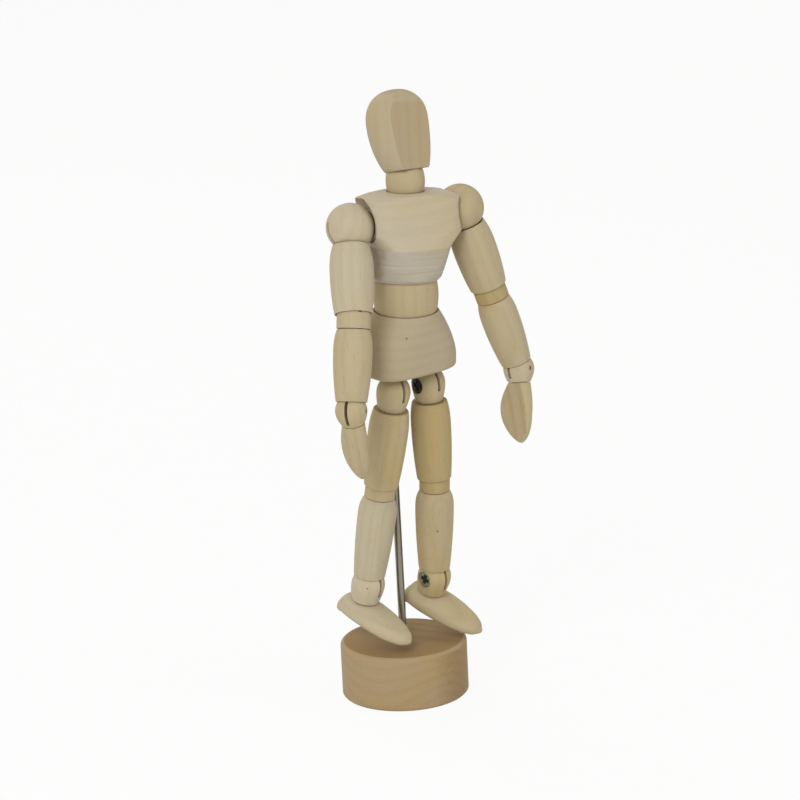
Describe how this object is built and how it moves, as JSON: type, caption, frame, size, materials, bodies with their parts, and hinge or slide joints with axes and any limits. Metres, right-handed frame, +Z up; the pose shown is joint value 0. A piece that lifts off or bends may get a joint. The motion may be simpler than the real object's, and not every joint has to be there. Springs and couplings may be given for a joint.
{
  "type": "jointed drawing mannequin",
  "caption": "Jointed wooden drawing figure held by a steel rod on a round wooden stand, with ball-and-tongue limb joints and a torso drawn together by springs.",
  "frame": {"origin": "centre of the stand's flat underside", "axes": "+Z up; the figure faces -Y and its left side is +X"},
  "size_m": [0.0791, 0.0468, 0.1985],
  "materials": {
    "birch": "bare sanded pale birch",
    "honey_birch": "bare sanded birch, a little yellower",
    "steel": "plain drawn steel"
  },
  "bodies": {
    "stand": {"base": "birch", "support_rod": "steel"},
    "pelvis": {"pelvis": "birch", "pelvis_pin": "steel", "right_hip_tongue": "steel", "left_hip_tongue": "steel"},
    "abdomen": {"abdomen": "honey_birch"},
    "chest": {"chest": "birch", "shoulder_spring": "steel", "waist_spring": "steel", "neck_spring": "steel"},
    "neck": {"neck": "honey_birch"},
    "head": {"head": "birch", "head_pin": "steel"},
    "right_shoulder": {"right_shoulder_ball": "honey_birch", "right_shoulder_pin": "steel"},
    "right_upper_arm": {"right_upper_arm": "birch", "right_shoulder_tongue": "steel", "right_elbow_tongue": "steel"},
    "right_elbow": {"right_elbow_ball": "honey_birch", "right_elbow_pin": "steel"},
    "right_forearm": {"right_forearm": "birch", "right_wrist_tongue": "steel"},
    "right_wrist": {"right_wrist_ball": "honey_birch", "right_wrist_pin": "steel"},
    "right_hand": {"right_hand": "birch"},
    "right_hip": {"right_hip_ball": "honey_birch", "right_hip_screw": "steel"},
    "right_thigh": {"right_thigh": "birch", "right_knee_tongue": "steel"},
    "right_knee": {"right_knee_ball": "honey_birch", "right_knee_pin": "steel"},
    "right_shin": {"right_shin": "birch", "right_ankle_tongue": "steel"},
    "right_ankle": {"right_ankle_ball": "honey_birch", "right_ankle_screw": "steel"},
    "right_foot": {"right_foot": "birch"},
    "left_shoulder": {"left_shoulder_ball": "honey_birch", "left_shoulder_pin": "steel"},
    "left_upper_arm": {"left_upper_arm": "birch", "left_shoulder_tongue": "steel", "left_elbow_tongue": "steel"},
    "left_elbow": {"left_elbow_ball": "honey_birch", "left_elbow_pin": "steel"},
    "left_forearm": {"left_forearm": "birch", "left_wrist_tongue": "steel"},
    "left_wrist": {"left_wrist_ball": "honey_birch", "left_wrist_pin": "steel"},
    "left_hand": {"left_hand": "birch"},
    "left_hip": {"left_hip_ball": "honey_birch", "left_hip_screw": "steel"},
    "left_thigh": {"left_thigh": "birch", "left_knee_tongue": "steel"},
    "left_knee": {"left_knee_ball": "honey_birch", "left_knee_pin": "steel"},
    "left_shin": {"left_shin": "birch", "left_ankle_tongue": "steel"},
    "left_ankle": {"left_ankle_ball": "honey_birch", "left_ankle_screw": "steel"},
    "left_foot": {"left_foot": "birch"}
  },
  "joints": [
    {"name": "pelvis_turn", "type": "hinge", "parent": "stand", "child": "pelvis", "pos_m": [0, 0.00081, 0.1104], "axis": [0, 0.0087, 1], "continuous": true},
    {"name": "waist_bend", "type": "hinge", "parent": "pelvis", "child": "abdomen", "pos_m": [0, -0.00927, 0.13433], "axis": [-1, 0, 0], "range_deg": [-12, 12], "deforming": ["waist_spring"]},
    {"name": "chest_turn", "type": "hinge", "parent": "abdomen", "child": "chest", "pos_m": [0, -0.00927, 0.13433], "axis": [0.061, 0.0088, 0.9981], "range_deg": [-40, 40]},
    {"name": "neck_bend", "type": "hinge", "parent": "chest", "child": "neck", "pos_m": [0.0022, -0.00896, 0.17026], "axis": [-0.9712, 0.2314, 0.0573], "range_deg": [-15, 15], "deforming": ["neck_spring"]},
    {"name": "head_turn", "type": "hinge", "parent": "neck", "child": "head", "pos_m": [0.0022, -0.00896, 0.17026], "axis": [-0.0776, -0.2353, -0.9688], "range_deg": [-70, 70]},
    {"name": "right_shoulder_swing", "type": "hinge", "parent": "chest", "child": "right_shoulder", "pos_m": [-0.01725, -0.00463, 0.15828], "axis": [-0.9712, 0.2314, 0.0573], "range_deg": [-50, 90]},
    {"name": "right_arm_lift", "type": "hinge", "parent": "right_shoulder", "child": "right_upper_arm", "pos_m": [-0.01725, -0.00463, 0.15828], "axis": [0.1908, 0.8987, -0.3949], "range_deg": [-5, 78]},
    {"name": "right_elbow", "type": "hinge", "parent": "right_upper_arm", "child": "right_elbow", "pos_m": [-0.02577, -0.01463, 0.13142], "axis": [0.9394, -0.2839, -0.1922], "range_deg": [-46, 28]},
    {"name": "right_forearm_twist", "type": "hinge", "parent": "right_elbow", "child": "right_forearm", "pos_m": [-0.02577, -0.01463, 0.13142], "axis": [0.2515, 0.1896, 0.9491], "range_deg": [-90, 90]},
    {"name": "right_wrist", "type": "hinge", "parent": "right_forearm", "child": "right_wrist", "pos_m": [-0.03268, -0.01984, 0.10532], "axis": [0.5139, -0.8571, 0.035], "range_deg": [-82, 32]},
    {"name": "right_hand_twist", "type": "hinge", "parent": "right_wrist", "child": "right_hand", "pos_m": [-0.03268, -0.01984, 0.10532], "axis": [-0.1923, -0.0753, 0.9784], "range_deg": [-90, 90]},
    {"name": "right_hip", "type": "hinge", "parent": "pelvis", "child": "right_hip", "pos_m": [-0.0072, -0.00974, 0.10424], "axis": [0.9976, 0.0043, -0.0696], "range_deg": [-80, 25]},
    {"name": "right_thigh_twist", "type": "hinge", "parent": "right_hip", "child": "right_thigh", "pos_m": [-0.0072, -0.00974, 0.10424], "axis": [-0.0692, 0.1821, -0.9808], "range_deg": [-18, 45]},
    {"name": "right_knee", "type": "hinge", "parent": "right_thigh", "child": "right_knee", "pos_m": [-0.00955, -0.00355, 0.07089], "axis": [-0.9976, -0.0214, 0.0664], "range_deg": [-38, 38]},
    {"name": "right_shin_twist", "type": "hinge", "parent": "right_knee", "child": "right_shin", "pos_m": [-0.00955, -0.00355, 0.07089], "axis": [0.0692, -0.1735, 0.9824], "range_deg": [-45, 18]},
    {"name": "right_ankle", "type": "hinge", "parent": "right_shin", "child": "right_ankle", "pos_m": [-0.0118, 0.00209, 0.03896], "axis": [0.9823, 0.1836, -0.0367], "range_deg": [-40, 10]},
    {"name": "right_foot_twist", "type": "hinge", "parent": "right_ankle", "child": "right_foot", "pos_m": [-0.0118, 0.00209, 0.03896], "axis": [0.0826, -0.2489, 0.965], "range_deg": [-45, 16]},
    {"name": "left_shoulder_swing", "type": "hinge", "parent": "chest", "child": "left_shoulder", "pos_m": [0.02023, -0.01349, 0.15908], "axis": [0.9712, -0.2314, -0.0573], "range_deg": [-100, 50], "deforming": ["shoulder_spring"]},
    {"name": "left_arm_lift", "type": "hinge", "parent": "left_shoulder", "child": "left_upper_arm", "pos_m": [0.02023, -0.01349, 0.15908], "axis": [-0.2293, -0.9725, 0.0401], "range_deg": [-6, 66]},
    {"name": "left_elbow", "type": "hinge", "parent": "left_upper_arm", "child": "left_elbow", "pos_m": [0.02882, -0.01669, 0.13062], "axis": [-0.93, 0.2068, -0.304], "range_deg": [-38, 37]},
    {"name": "left_forearm_twist", "type": "hinge", "parent": "left_elbow", "child": "left_forearm", "pos_m": [0.02882, -0.01669, 0.13062], "axis": [-0.2853, 0.1155, 0.9514], "range_deg": [-90, 90]},
    {"name": "left_wrist", "type": "hinge", "parent": "left_forearm", "child": "left_wrist", "pos_m": [0.03667, -0.01986, 0.10445], "axis": [-0.1334, 0.9783, -0.1587], "range_deg": [-80, 35]},
    {"name": "left_hand_twist", "type": "hinge", "parent": "left_wrist", "child": "left_hand", "pos_m": [0.03667, -0.01986, 0.10445], "axis": [0.1596, 0.1793, 0.9708], "range_deg": [-90, 90]},
    {"name": "left_hip", "type": "hinge", "parent": "pelvis", "child": "left_hip", "pos_m": [0.0072, -0.00974, 0.10424], "axis": [0.999, -0.0027, 0.0435], "range_deg": [-75, 28]},
    {"name": "left_thigh_twist", "type": "hinge", "parent": "left_hip", "child": "left_thigh", "pos_m": [0.0072, -0.00974, 0.10424], "axis": [-0.0436, -0.0261, 0.9987], "range_deg": [-45, 10]},
    {"name": "left_knee", "type": "hinge", "parent": "left_thigh", "child": "left_knee", "pos_m": [0.00868, -0.00885, 0.07029], "axis": [-0.9973, -0.0584, -0.0451], "range_deg": [-33, 42]},
    {"name": "left_shin_twist", "type": "hinge", "parent": "left_knee", "child": "left_shin", "pos_m": [0.00868, -0.00885, 0.07029], "axis": [0.0382, 0.113, -0.9929], "range_deg": [-16, 45]},
    {"name": "left_ankle", "type": "hinge", "parent": "left_shin", "child": "left_ankle", "pos_m": [0.00992, -0.00518, 0.03802], "axis": [-0.9945, -0.093, -0.0489], "range_deg": [-6, 44]},
    {"name": "left_foot_twist", "type": "hinge", "parent": "left_ankle", "child": "left_foot", "pos_m": [0.00992, -0.00518, 0.03802], "axis": [0.0134, 0.349, -0.937], "range_deg": [-45, 45]}
  ]
}
